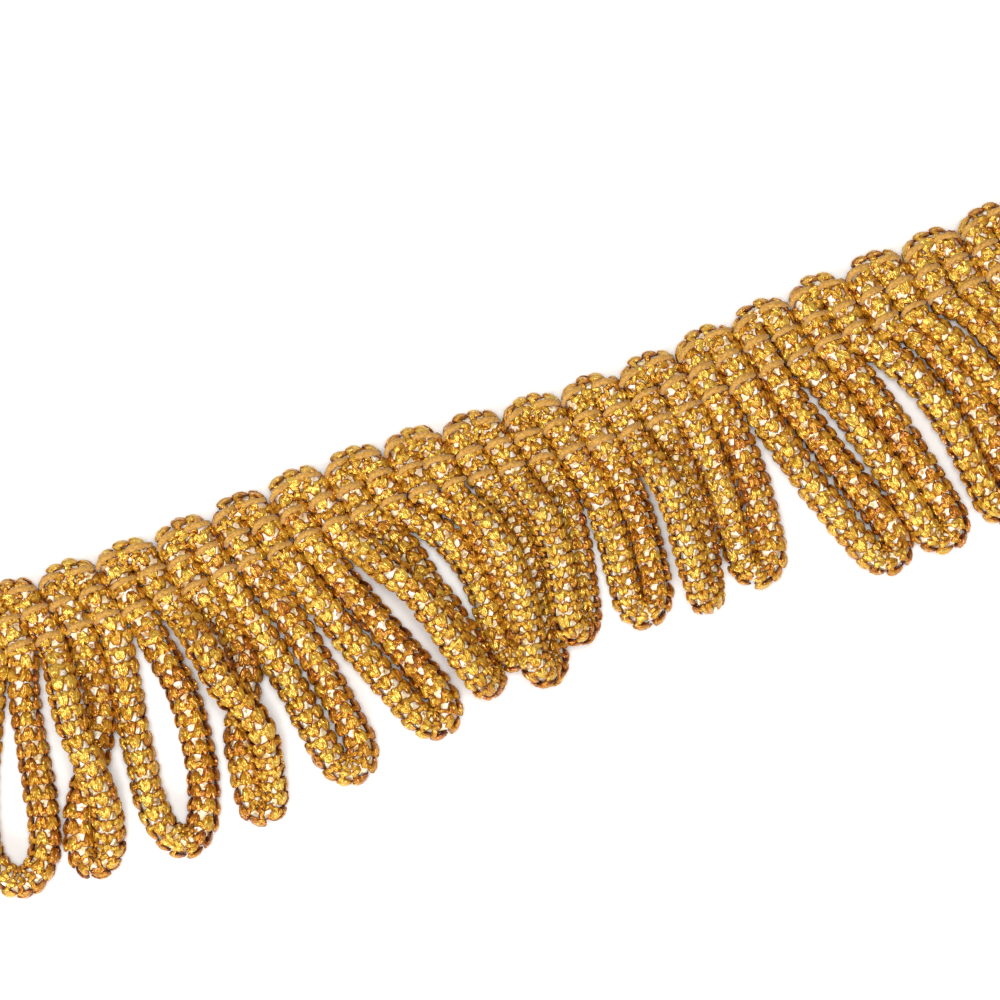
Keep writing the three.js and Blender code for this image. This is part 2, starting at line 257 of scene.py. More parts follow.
# %% The cord's axis
BLEND_FROM, BLEND_TO = -1.5, 3.0    # mm from the root where a leg bends into its loop's lean
TURN_TOP = 1.15                     # depth of the axis at the top of a turn
TURN_SIDE = 2.0                     # depth at which a leg starts to turn
TURN_SQUARE = 2.6                   # exponent of the turn: 2 is an ellipse, more is squarer
TURN_STATIONS = 25
END_STATIONS = 12                   # in one half of a loop's lower end
TWIST_EASE = 12.0                   # mm over which a leg takes up its turn about its own axis
END_EASE = 14                       # stations beside a loop's end in which one becomes the other


def loop_points(loop, index, along, across, share):
    """Points of a loop by their way down it and aside, lifted by a share of the loop's climb."""
    t = np.clip(along / loop["reach"], 0, 1)
    root = heading_point(FIRST_TURN_X + (index + 0.5) * PITCH + loop["nudge"], ROOT_DEPTH)
    lean = math.radians(loop["lean"])
    down = np.array([math.sin(lean), -math.cos(lean)])
    aside = np.array([math.cos(lean), math.sin(lean)])
    bow = loop["sway"] * BOW_SHAPE * t * (1 - t) ** BOW_FALL
    plan = root + np.outer(along, down) + np.outer(across + bow, aside)
    raised = np.zeros_like(along)
    if loop["lies"] in CLIMBS:
        start, up, leaves, level = CLIMBS[loop["lies"]]
        raised = smooth(start, up, t) - smooth(leaves, level, t)
    return np.column_stack([plan, LIFT * raised * share])


def half_spacing(loop, along):
    """Half the distance between a loop's two legs."""
    opened = smooth(loop["opens"], loop["opened"], along / loop["reach"])
    return LEG / 2 + (loop["gape"] / 2 - LEG / 2) * opened


def loop_leg(loop, index, side):
    """Stations from the heading down to the middle of the turn, for side -1 or 1."""
    straight = loop["reach"] - loop["round"]
    legs = np.arange(BLEND_FROM, straight, STEP)
    angles = np.linspace(0, math.pi / 2, END_STATIONS)
    along = np.concatenate([legs, straight + loop["round"] * np.sin(angles)])
    turned = np.concatenate([np.zeros_like(legs), angles])
    half = np.where(
        turned > 0, half_spacing(loop, straight) * np.cos(turned), half_spacing(loop, along))
    points = loop_points(loop, index, along, side * half, (1 - side * np.cos(turned)) / 2)
    x = FIRST_TURN_X + (index + 0.5) * PITCH + side * LEG / 2
    heading = heading_point(x, ROOT_DEPTH + along * math.cos(CORD_LEAN))
    weight = smooth(BLEND_FROM, BLEND_TO, along)[:, None]
    points[:, :2] = heading * (1 - weight) + points[:, :2] * weight
    return points


def heading_turn(index):
    """Stations of one turn: up its left leg, over the top and down its right leg."""
    x = FIRST_TURN_X + index * PITCH
    lower = ROOT_DEPTH + BLEND_FROM * math.cos(CORD_LEAN)
    legs = np.arange(lower - STEP, TURN_SIDE, -STEP)
    angles = np.linspace(0, math.pi, TURN_STATIONS)
    wide = np.sign(np.cos(angles)) * np.abs(np.cos(angles)) ** (2 / TURN_SQUARE)
    high = np.sin(angles) ** (2 / TURN_SQUARE)
    across = np.concatenate([np.full_like(legs, -1), -wide, np.full_like(legs, 1)]) * LEG / 2
    depth = np.concatenate([legs, TURN_SIDE - (TURN_SIDE - TURN_TOP) * high, legs[::-1]])
    plan = heading_point(x, depth)
    plan[:, 0] += across
    plan[:, 1] += top_edge(x + across) - top_edge(x)
    return np.column_stack([plan, np.zeros(len(plan))])


def cord_sections():
    """The cord in order: (loop number or -1 in the heading, stations, turn in degrees)."""
    sections = []
    for index in range(TURNS):
        points = heading_turn(index)
        sections.append((-1, points, np.zeros(len(points))))
        if index < len(LOOPS):
            loop = LOOPS[index]
            left, right = loop_leg(loop, index, -1), loop_leg(loop, index, 1)[::-1]
            down, up = np.arange(len(left)) * STEP, np.arange(len(right))[::-1] * STEP
            both = np.concatenate([
                loop["left_turned"] * smooth(0, TWIST_EASE, down),
                loop["right_turned"] * smooth(0, TWIST_EASE, up)[1:]])
            middle = np.arange(len(both)) - len(left)
            ease = smooth(-END_EASE, END_EASE, middle)
            both = np.where(
                np.abs(middle) <= END_EASE,
                loop["left_turned"] * (1 - ease) + loop["right_turned"] * ease, both)
            sections.append((index, np.concatenate([left, right[1:]]), both))
    return sections


sections = cord_sections()
print("stations:", sum(len(points) for _, points, _ in sections))

# %% [markdown]
# The sections are joined to one cord. Every station keeps the number of its loop, how far the
# cord is turned there, and its distance from the start. A knitted cord never lies quite
# straight in itself, so a slow random wandering is added to the turn.

# %% Join the sections
WANDER = 7.0                    # degrees by which the cord turns about its axis at random
WANDER_LENGTH = 9.0             # mm from one random turn to the next
CLOSE_SHARE = 0.3               # a station closer to the last one than this share is dropped

axis = np.concatenate([points for _, points, _ in sections])
owner = np.concatenate([np.full(len(points), index) for index, points, _ in sections])
turned = np.concatenate([turns for _, _, turns in sections])
apart = np.linalg.norm(np.diff(axis, axis=0), axis=1)
keep = np.concatenate([[True], apart > STEP * CLOSE_SHARE])
axis, owner, turned = axis[keep], owner[keep], turned[keep]
travel = np.concatenate([[0], np.cumsum(np.linalg.norm(np.diff(axis, axis=0), axis=1))])
knots = np.arange(0, travel[-1] + 2 * WANDER_LENGTH, WANDER_LENGTH)
turned = turned + np.interp(travel, knots, rng.normal(0, WANDER, len(knots)))
print("cord length, mm:", round(float(travel[-1])))

# %% [markdown]
# A frame travels along the axis: the direction of the cord, one direction across it and one
# out of its top. The direction across is level, and it keeps its sense through a turn that
# stands upright, where a loop folds back under itself.

# %% Frames along the cord
STEADY_FROM, STEADY_TO = 4, 9   # mm into an upright loop, over which its level direction is fixed


def unit(vectors):
    return vectors / np.linalg.norm(vectors, axis=-1, keepdims=True)


forward = unit(np.gradient(axis, axis=0))
across = np.column_stack([-forward[:, 1], forward[:, 0], np.zeros(len(axis))])
for index, loop in enumerate(LOOPS):
    if loop["lies"] == "stacked":
        mine = np.flatnonzero(owner == index)
        lean = math.radians(loop["lean"])
        fixed = np.array([math.cos(lean), math.sin(lean), 0])
        way_in = np.minimum(travel[mine] - travel[mine[0]], travel[mine[-1]] - travel[mine])
        far = smooth(STEADY_FROM, STEADY_TO, way_in)
        sense = np.sign(across[mine] @ fixed)
        sense[sense == 0] = 1
        across[mine] = across[mine] * (1 - far[:, None]) + fixed * (sense * far)[:, None]
for i in range(1, len(across)):
    if across[i] @ across[i - 1] < 0:
        across[i] *= -1
out = unit(np.cross(forward, across))
across = unit(np.cross(out, forward))


def cord_at(distance, values):
    """Values of the stations, interpolated at distances along the cord."""
    flat = np.ravel(distance)
    if values.ndim == 1:
        return np.interp(flat, travel, values).reshape(np.shape(distance))
    columns = [np.interp(flat, travel, values[:, k]) for k in range(values.shape[1])]
    return np.stack(columns, axis=-1).reshape(*np.shape(distance), values.shape[1])


print("frames:", len(forward))

# %% [markdown]
# Cords that lie side by side squeeze each other. Each station is as wide as the cord, unless
# another stretch of cord at its own height leaves less room on its left or its right.

# %% Room beside each station
ROOM_REACH = 5.0                # mm within which another stretch of cord counts
OWN_LENGTH = 6.0                # mm of its own length in which a station sees no neighbour
SAME_HEIGHT = 1.0               # mm up or down within which two stretches of cord lie side by side
OVERLAP = 0.35                  # mm by which the stitches of two touching cords mesh
FREE = 9.0                      # mm of room where there is no neighbour
NARROWEST = 0.62                # share of its width that a squeezed cord always keeps
SMOOTHING = 13                  # stations over which a change of width is spread
BATCH = 500                     # stations compared at a time, to save memory


def room_beside():
    """Distance to the nearest cord at about the same height, on the left and the right."""
    found = np.full((len(axis), 2), FREE)
    for start in range(0, len(axis), BATCH):
        block = slice(start, start + BATCH)
        apart = axis[None, :, :] - axis[block, None, :]
        level = np.hypot(apart[..., 0], apart[..., 1])
        space = np.hypot(level, apart[..., 2] * CORD_RADIUS / CORD_HALF_HEIGHT)
        other = np.abs(travel[block, None] - travel[None, :]) > OWN_LENGTH
        near = other & (np.abs(apart[..., 2]) < SAME_HEIGHT) & (level < ROOM_REACH)
        aside = np.einsum("ijk,ik->ij", apart, across[block])
        for k, on_side in enumerate((aside < 0, aside >= 0)):
            found[block, k] = np.where(near & on_side, space, FREE).min(axis=1)
    return found


room = room_beside()
squeeze = np.clip((room.min(axis=1) + OVERLAP) / (2 * CORD_RADIUS), NARROWEST, 1.0)
kernel = np.hanning(SMOOTHING)
padded = np.pad(squeeze, SMOOTHING // 2, mode="edge")
squeeze = np.convolve(padded, kernel / kernel.sum(), mode="valid")
print("narrowest cord, mm:", round(2 * CORD_RADIUS * squeeze.min(), 2))

# %% [markdown]
# One course of the knitting is one ring of yarn. In each of the six columns the yarn makes one
# stitch, a plump shield: wide at its shoulders, where it touches the next column, and narrow
# at its tip, which tucks in under the next course. Between two columns the yarn lies deeper
# and leaves a small window beside the tip, in which the pale lining shows as a fleck. Seen
# from the side a stitch stands out as a tooth, with a notch before the next one.
#
# The table gives one half of a stitch: degrees from the column's middle, courses along the
# cord, how far out it lies, and the yarn's half width and half thickness there. The other half
# is its mirror image. The yarn is a bundle of flat film, so its section is a low hexagon.

# %% One stitch
STITCH = np.array([
    # angle, along, radius, width, thickness
    (-30.0, 0.45, 1.43, 0.38, 0.20),
    (-21.0, 0.40, 1.51, 0.40, 0.23),
    (-12.0, 0.29, 1.58, 0.43, 0.26),
    (-9.0, 0.50, 1.63, 0.50, 0.27),
    (-8.0, 0.74, 1.57, 0.44, 0.24),
    (-5.0, 0.93, 1.44, 0.34, 0.19),
    (0.0, 1.02, 1.33, 0.28, 0.16),
])
SIDES = 6                       # of the yarn's section
mirrored = STITCH[1:][::-1] * np.array([-1, 1, 1, 1, 1])
stitch = np.concatenate([STITCH[:-1], mirrored])    # from between two columns to the next gap
PER_STITCH = len(stitch)
PER_COURSE = PER_STITCH * WALES
print("stations of yarn in a course:", PER_COURSE, "facets:", PER_COURSE * SIDES)

# %% [markdown]
# The courses don't lie evenly along the cord. In the middle of the trim it is knitted tighter,
# as the photograph shows, and in a turn the courses lie closer too, because the stitches on the
# inside of the bend bunch up. So each station of the axis gets a running course number, and a
# course is laid where its own number is reached.

# %% Spacing of the courses
TIGHT_FROM, TIGHT_TO = -12.0, 22.0      # mm along the heading between which the cord is tighter
TIGHT_EASE = 6.0                        # mm over which that starts and ends
GENTLE_BEND, SHARP_BEND = 0.15, 0.45    # per mm: where crowding starts, and where it is full

heading_way = axis[:, 0]
tight = (smooth(TIGHT_FROM - TIGHT_EASE, TIGHT_FROM + TIGHT_EASE, heading_way)
         - smooth(TIGHT_TO - TIGHT_EASE, TIGHT_TO + TIGHT_EASE, heading_way))
bend = np.linalg.norm(np.gradient(forward, axis=0), axis=1) / np.gradient(travel)
spacing = COURSE - (COURSE - TIGHT_COURSE) * tight
spacing = spacing - (spacing - BENT_COURSE) * smooth(GENTLE_BEND, SHARP_BEND, bend)
course_number = np.concatenate([[0], np.cumsum(np.diff(travel) / spacing[1:])])
print("courses:", int(course_number[-1]))

# %% [markdown]
# A ring of yarn is laid on the surface of the cord, which is a tube a little flattened by its
# own weight and narrower where it is squeezed. No stitch comes out quite like the next, so each
# is shifted and widened a little at random. On the outside of a bend the courses are pulled
# apart, and there the yarn spreads and flattens. Where the cord rests on the table, it is level.
#
# Every point also gets a tone from 0 to 1, which is painted shade. It falls from the yarn's face to
# its edges, from the stitches' tops to the gaps between them, and from the top of the cord to
# its flanks, where shade falls. The legs that run back up are painted darker as a whole, as in the
# photograph, as shade on their stitches, which point the other way and lean away from the light.

# %% Rings of yarn
ANGLE_SPREAD = 3.0              # how much stitches differ: degrees round the cord,
ALONG_SPREAD = 0.05             # courses along it,
RADIUS_SPREAD = 0.03            # share of their distance from the axis,
WIDTH_SPREAD = 0.08             # share of the yarn's width,
ROLL_SPREAD = 0.16              # and radians of the yarn about its own line
STRETCH_SHARE = 0.7             # how far the yarn spreads where a bend pulls the courses apart
STRETCH_LEAST, STRETCH_MOST = 0.6, 1.7
# The tones below are painted shade: at the yarn's edges, deep in the knit, on the cord's flanks,
# and over the legs that run back up.
EDGE_SHADE, EDGE_FROM, EDGE_TO = 0.30, -0.1, 0.8     # by the sine of the angle in the section
DEEP_SHADE, DEEP_FROM, DEEP_TO = 0.30, 1.15, 1.6     # by the distance from the cord's axis, mm
FLANK_SHADE, FLANK_FROM, FLANK_TO = 0.78, 0.1, 0.75  # by how steeply the surface faces up
RISING_SHADE = 0.80              # of the legs that run back up
RISING_EASE = 2.0               # mm beside a loop's end, over which this starts
LEAVING_EASE = 8.0              # mm before the heading, over which it ends

# Painted shade: the legs that run back up are darker, easing in past a loop's end and out before
# the heading.
rising_leg_shade = np.ones(len(axis))
for index in range(len(LOOPS)):
    mine = np.flatnonzero(owner == index)
    middle = (travel[mine[0]] + travel[mine[-1]]) / 2
    rising = smooth(middle - RISING_EASE, middle + RISING_EASE, travel[mine])
    leaving = smooth(travel[mine[-1]] - LEAVING_EASE, travel[mine[-1]], travel[mine])
    rising_leg_shade[mine] = 1 - (1 - RISING_SHADE) * rising * (1 - leaving)


def knit(courses):
    """Stations of the yarn for each course: the stitch table's columns, with along in mm."""
    count = len(courses)
    ring = np.tile(stitch, (count, WALES, 1, 1)).astype(float)
    ring[..., 0] += rng.normal(0, ANGLE_SPREAD, (count, WALES, 1))
    ring[..., 1] += rng.normal(0, ALONG_SPREAD, (count, WALES, 1))
    ring[..., 2] *= 1 + rng.normal(0, RADIUS_SPREAD, (count, WALES, 1))
    ring[..., 3] *= 1 + rng.normal(0, WIDTH_SPREAD, (count, WALES, PER_STITCH))
    ring[..., 0] += np.arange(WALES)[None, :, None] * 360 / WALES + 90
    ring = ring.reshape(count, PER_COURSE, -1)
    ring[..., 1] = np.interp(ring[..., 1] + courses[:, None], course_number, travel)
    return ring


def on_cord(distance, angle, radius):
    """Points of the cord's surface, and the directions that lead out to them."""
    centre, side, up = (cord_at(distance, values) for values in (axis, across, out))
    wide = cord_at(distance, squeeze)[..., None]
    tall = CORD_HALF_HEIGHT / CORD_RADIUS
    radial = side * np.cos(angle)[..., None] * wide + up * np.sin(angle)[..., None] * tall
    return centre + radial * radius[..., None], radial


def shaded(darkest, start, end, value):
    """A factor that climbs from the darkest tone to 1 between two values."""
    return darkest + (1 - darkest) * smooth(start, end, value)


def yarn_rings(courses):
    """Vertices of each course, a closed ring of sections, and the values for the material."""
    ring = knit(courses)
    distance = np.clip(ring[..., 1], 0, travel[-1])
    angle = np.radians(ring[..., 0] + cord_at(distance, turned))
    place, radial = on_cord(distance, angle, ring[..., 2])
    ahead, _ = on_cord(distance + STEP, angle, ring[..., 2])
    stretch = np.linalg.norm(ahead - place, axis=-1) / STEP
    spread = np.clip(stretch, STRETCH_LEAST, STRETCH_MOST) ** STRETCH_SHARE
    ring[..., 3] *= spread * cord_at(distance, spacing) / COURSE
    place[..., 2] += CORD_HALF_HEIGHT
    along = unit(np.roll(place, -1, axis=1) - np.roll(place, 1, axis=1))
    outward = unit(radial)
    outward = unit(outward - along * np.sum(outward * along, axis=-1, keepdims=True))
    sideways = np.cross(along, outward)
    roll = rng.normal(0, ROLL_SPREAD, ring.shape[:2])
    corner = np.arange(SIDES) * 2 * np.pi / SIDES + roll[..., None]
    tape = np.cos(corner)
    wide_part = (tape * ring[..., 3:4])[..., None] * sideways[..., None, :]
    thick_part = (np.sin(corner) * ring[..., 4:5])[..., None] * outward[..., None, :]
    vertices = place[..., None, :] + wide_part + thick_part
    vertices[..., 2] = np.maximum(vertices[..., 2], 0)
    # The tone is painted shade: darker at the yarn's edges, deep in the knit, on the cord's flanks
    # and on the rising legs.
    painted_shading = (shaded(EDGE_SHADE, EDGE_FROM, EDGE_TO, np.sin(corner))
            * shaded(DEEP_SHADE, DEEP_FROM, DEEP_TO, ring[..., 2:3])
            * shaded(FLANK_SHADE, FLANK_FROM, FLANK_TO, radial[..., 2])[..., None]
            * cord_at(distance, rising_leg_shade)[..., None])
    luck = np.repeat(rng.random((len(courses), WALES)), PER_STITCH, axis=1)
    luck = np.broadcast_to(luck[..., None], painted_shading.shape)
    return vertices, {"painted_shading": painted_shading, "luck": luck, "tape": tape}


print("tones:", EDGE_SHADE, DEEP_SHADE, FLANK_SHADE, RISING_SHADE)

# %% [markdown]
# Blender takes a mesh fastest as flat lists of numbers. The first helper makes an object from
# millimetres in the drawing's frame, and keeps named values at every point for the materials:
# tone, the painted shade of the point, luck, which differs from stitch to stitch, and tape, the
# place across the yarn. The others number the faces of a ring, of a tube with closed ends, and
# of many copies of one of these.

# %% Helpers that make a mesh
def make_piece(name, vertices, faces, material, values=None, soft=False):
    mesh = bpy.data.meshes.new(name)
    vertices = (np.reshape(vertices, (-1, 3)) - CENTRE) * MM
    corners = faces.shape[1]
    mesh.vertices.add(len(vertices))
    mesh.vertices.foreach_set("co", vertices.astype(np.float32).ravel())
    mesh.loops.add(faces.size)
    mesh.loops.foreach_set("vertex_index", faces.astype(np.int32).ravel())
    mesh.polygons.add(len(faces))
    mesh.polygons.foreach_set("loop_start", np.arange(0, faces.size, corners, dtype=np.int32))
    mesh.update(calc_edges=True)
    mesh.validate()
    mesh.polygons.foreach_set("use_smooth", np.full(len(faces), soft))
    for label, numbers in (values or {}).items():
        layer = mesh.attributes.new(label, "FLOAT", "POINT")
        layer.data.foreach_set("value", np.ravel(numbers).astype(np.float32))
    mesh.materials.append(material)
    piece = bpy.data.objects.new(name, mesh)
    bpy.context.scene.collection.objects.link(piece)
    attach(piece, "root")
    return piece


def repeated(faces, count, points):
    """The same faces for each of many copies, which have so many points each."""
    copies = np.arange(count)[:, None, None] * points
    return (faces[None] + copies).reshape(-1, faces.shape[1])


def ring_faces(sections, sides):
    """Four-cornered faces of one closed ring."""
    section = np.arange(sections)[:, None] * sides
    following = (section + sides) % (sections * sides)
    corner = np.arange(sides)
    beside = (corner + 1) % sides
    return np.stack([
        section + corner, section + beside, following + beside, following + corner,
    ], axis=-1).reshape(-1, 4)


def tube_faces(sections, sides):
    """Triangles of one tube, whose sections run anticlockwise as seen from its far end."""
    near = np.arange(sections - 1)[:, None] * sides
    far = near + sides
    corner = np.arange(sides)
    beside = (corner + 1) % sides
    fan = np.arange(1, sides - 1)
    first, last = np.zeros_like(fan), np.full_like(fan, (sections - 1) * sides)
    triangles = [
        (near + corner, near + beside, far + beside), (near + corner, far + beside, far + corner),
        (first, fan + 1, fan), (last, last + fan, last + fan + 1)]
    return np.concatenate([np.stack(three, axis=-1).reshape(-1, 3) for three in triangles])


print("a ring of", len(ring_faces(PER_COURSE, SIDES)), "faces for each course")

# %% [markdown]
# The cord is knitted from metallised polyester film: clear plastic film with a vapour-thin
# layer of metal under a gold lacquer, slit into tapes about 0.2 mm wide, four or five of them
# side by side in the yarn. The metal shines through the lacquer as a yellow half-mirror, and
# the clear film over it adds its own white gloss, so it is a partly metallic base under a
# coat. At the edges of a stitch, deep in the knit, on the cord's flanks and on the rising legs,
# the colour is painted amber and brown as shade. The tapes show as fine streaks along the yarn,
# with a brown line between two tapes, and creases about 0.3 mm apart break the reflections into
# glints.

# %% Metallised film
TAPES = 4.5                     # tapes across the yarn
CREASE = 0.32                   # mm between creases
TILT = 0.7                      # how far a patch between creases leans, as a share of the normal
PATCH_SHARE, PATCH_SHIFT = 0.34, -0.17      # what a patch between creases adds to the tone,
LUCK_SHARE, LUCK_SHIFT = 0.34, -0.17        # what a stitch's luck adds,
STREAK_SHARE, STREAK_SHIFT = 0.26, -0.18    # and what the streaks add


def value_of(material, label):
    """A value that make_piece kept at every point."""
    return add_node(material, "ShaderNodeAttribute", {"attribute_name": label}).outputs["Fac"]


def crease_patches(material, size):
    """Patches with one random colour each, and the brightness of their red, for size in mm."""
    where = add_node(material, "ShaderNodeTexCoord").outputs["Object"]
    creases = add_node(material, "ShaderNodeTexVoronoi", {"feature": "F1"}, {
        "Vector": where, "Scale": 1 / (size * MM), "Randomness": 1.0}).outputs["Color"]
    patch = add_node(material, "ShaderNodeSeparateColor", inputs={"Color": creases})
    return creases, patch.outputs["Red"]


def colour_ramp(material, factor, stops):
    """Colours from a factor. Stops are pairs of position and sRGB hex, lowest first."""
    node = add_node(material, "ShaderNodeValToRGB", inputs={"Fac": factor})
    first, last = node.color_ramp.elements
    first.position, first.color = stops[0][0], linear(stops[0][1])
    last.position, last.color = stops[-1][0], linear(stops[-1][1])
    for position, colour in stops[1:-1]:
        node.color_ramp.elements.new(position).color = linear(colour)
    return node.outputs["Color"]


def film_material(name, stops):
    """Gold film. The stops are its colours from the deepest painted shade to the most lit place."""
    material = new_material(name)
    painted_shading, luck, tape = (value_of(material, label) for label in ("painted_shading", "luck", "tape"))
    creases, patch = crease_patches(material, CREASE)
    count = add_node(material, "ShaderNodeMath", {"operation": "MULTIPLY_ADD"}, {
        0: tape, 1: TAPES * math.pi / 2, 2: luck})
    wave = add_node(material, "ShaderNodeMath", {"operation": "SINE"}, {0: count.outputs[0]})
    streak = add_node(material, "ShaderNodeMath", {"operation": "ABSOLUTE"}, {0: wave.outputs[0]})
    # The base colour follows the painted shade, varied by creases, luck and streaks.
    shade = painted_shading
    for source, amount, offset in (
            (patch, PATCH_SHARE, PATCH_SHIFT), (luck, LUCK_SHARE, LUCK_SHIFT),
            (streak.outputs[0], STREAK_SHARE, STREAK_SHIFT)):
        scaled = add_node(material, "ShaderNodeMath", {"operation": "MULTIPLY_ADD"}, {
            0: source, 1: amount, 2: offset})
        shade = add_node(material, "ShaderNodeMath", {"operation": "ADD"}, {
            0: shade, 1: scaled.outputs[0]}).outputs[0]
    ridges = add_node(material, "ShaderNodeBump", inputs={
        "Height": streak.outputs[0], "Strength": 0.4, "Distance": 0.05 * MM})
    tilt = add_node(material, "ShaderNodeVectorMath", {"operation": "MULTIPLY_ADD"}, {
        0: creases, 1: [TILT] * 3, 2: [-TILT / 2] * 3})
    tilted = add_node(material, "ShaderNodeVectorMath", {"operation": "ADD"}, {
        0: ridges.outputs["Normal"], 1: tilt.outputs["Vector"]})
    facet = add_node(material, "ShaderNodeVectorMath", {"operation": "NORMALIZE"}, {
        0: tilted.outputs["Vector"]})
    shader = add_node(material, "ShaderNodeBsdfPrincipled", inputs={
        "Base Color": colour_ramp(material, shade, stops),
        "Normal": facet.outputs["Vector"], "Coat Normal": facet.outputs["Vector"],
        "Metallic": 0.65, "Roughness": 0.37, "Coat Weight": 0.45, "Coat Roughness": 0.08})
    return finish_material(material, shader)


gold_film = film_material("gold_metallised_film", [
    (0.10, "#682E06"), (0.45, "#B0600A"), (0.82, "#CA9418"), (1.0, "#E2B94A")])
print("film:", gold_film.name)

# %% [markdown]
# Inside the knitted tube lies a loose lining of the same film, with its uncoloured back
# outwards, which keeps the tube round. It shows through the windows between the stitches as
# pale flecks. It is made as a twisted, faceted core along the cord's axis. Where another cord
# leans on it, it is wider, since there no notches show, and there its flank is painted amber as
# the shade between the two cords, except where it faces up.

# %% Core of the cord
CORE_RADIUS = 1.46              # up and down, before the cord is flattened
CORE_SIDEWAYS = 1.10            # sideways where no other cord leans on it, so that the notches show
CORE_SIDES = 10
CORE_STEP = 0.8
CORE_START = 0.3                # mm from the cord's cut end
CORE_TWIST = math.radians(18)
CORE_FLAT = 0.88                # its height over its width
CORE_UNEVEN = 0.03
LEANING, APART = 3.5, 4.0       # mm of room: another cord leans on it, and none does
CORE_MARGIN = 0.08              # mm that the core stops short of halfway to the other cord
CORE_LEAST, CORE_MOST = 0.8, 1.55
# Painted shade on a packed flank of the core: amber where it faces away from the top, pale where it
# faces up.
AMBER_TO, PALE_FROM = 0.45, 0.8     # by how steeply a bare flank faces up
LINING_CREASE = 0.35            # mm between creases


def core_piece(name, start, end, material):
    """A tube with closed ends along the cord's axis, from one distance to another."""
    distance = np.arange(start, end, CORE_STEP)
    centre, side, up = (cord_at(distance, values) for values in (axis, across, out))
    share = cord_at(distance, squeeze)[:, None]
    turn = np.arange(len(distance)) * CORE_TWIST
    corner = np.arange(CORE_SIDES) * 2 * np.pi / CORE_SIDES + turn[:, None]
    beside = cord_at(distance, room)
    beside = np.where(np.cos(corner) > 0, beside[:, 1:], beside[:, :1])
    packed = smooth(APART, LEANING, beside)
    packed_width = np.clip(beside / 2 - CORE_MARGIN, CORE_LEAST, CORE_MOST * share)
    half_width = CORE_SIDEWAYS * share * (1 - packed) + packed_width * packed
    uneven = 1 + rng.normal(0, CORE_UNEVEN, corner.shape)
    vertices = (
        centre[:, None, :]
        + (np.cos(corner) * half_width * uneven)[..., None] * side[:, None, :]
        + (np.sin(corner) * CORE_RADIUS * CORE_FLAT * uneven)[..., None] * up[:, None, :])
    vertices[..., 2] = np.maximum(vertices[..., 2] + CORD_HALF_HEIGHT, 0)
    painted_shading = 1 - packed * (1 - smooth(AMBER_TO, PALE_FROM, np.sin(corner) * up[:, None, 2]))
    faces = tube_faces(len(distance), CORE_SIDES)
    return make_piece(name, vertices, faces, material, {"painted_shading": painted_shading})


def lining_material(name, painted_shade_colour, stops):
    """The film's uncoloured back, creased like its front, painted amber as shade where its tone is
    low.
    """
    material = new_material(name)
    _, patch = crease_patches(material, LINING_CREASE)
    pale = colour_ramp(material, patch, stops)
    shaded_back = add_node(material, "ShaderNodeMixRGB", inputs={
        "Fac": value_of(material, "painted_shading"), "Color1": linear(painted_shade_colour), "Color2": pale})
    shader = add_node(material, "ShaderNodeBsdfPrincipled", inputs={
        "Base Color": shaded_back.outputs["Color"], "Roughness": 0.35,
        "Coat Weight": 0.4, "Coat Roughness": 0.1})
    return finish_material(material, shader)


# The colour #8A4A0C is the painted amber shade on the core's packed flanks.
core_film = lining_material("uncoloured_back_of_film", "#8A4A0C", [
    (0.0, "#A5681A"), (0.35, "#F4D99A"), (0.6, "#FFF1CF"), (1.0, "#FFFAEA")])
print("core:", core_film.name)

# %% [markdown]
# Now the cord is knitted. Each course belongs to the heading or to a loop, by the station that
# it starts at. The loops are made as four pieces, so that none is too heavy, and the heading
# as one more.

# %% Knit the cord
courses = np.arange(int(course_number[-1]))
course_start = np.interp(courses, course_number, travel)
course_axis = cord_at(course_start, axis)
course_owner = owner[np.searchsorted(travel, course_start).clip(0, len(owner) - 1)]
heading_x = course_axis[:, 0] - ROOT_DEPTH * math.tan(CORD_LEAN)
depth = top_edge(heading_x) - course_axis[:, 1]
in_heading = (course_owner < 0) | (depth < HEADING_DEPTH)
GROUPS = {
    "loops_far_left": (0, 3), "loops_left": (4, 8),
    "loops_right": (9, 14), "loops_far_right": (15, 19),
}


def knitted_piece(name, courses):
    vertices, values = yarn_rings(courses)
    faces = repeated(ring_faces(PER_COURSE, SIDES), len(courses), PER_COURSE * SIDES)
    print(name, len(courses), "courses,", 2 * len(faces), "triangles")
    return make_piece("knitted_" + name, vertices, faces, gold_film, values)


for name, (first, last) in GROUPS.items():
    of_group = ~in_heading & (course_owner >= first) & (course_owner <= last)
    piece = knitted_piece(name, courses[of_group])
    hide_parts("loop_fringe")
piece = knitted_piece("heading", courses[in_heading])
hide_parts("heading")

core = core_piece("cord_core", CORE_START, travel[-1], core_film)
print("core", len(core.data.polygons), "triangles")

# %% [markdown]
# The binding yarn is a plain spun two-ply, matte and tan-gold. Each row is a line of chain
# stitches: one slanting arc over every leg of the cord, which dives between two legs at both
# ends. The two plies wind round each other about once in 2 mm. No arc is quite like the next in
# its length, its slant or its thickness.

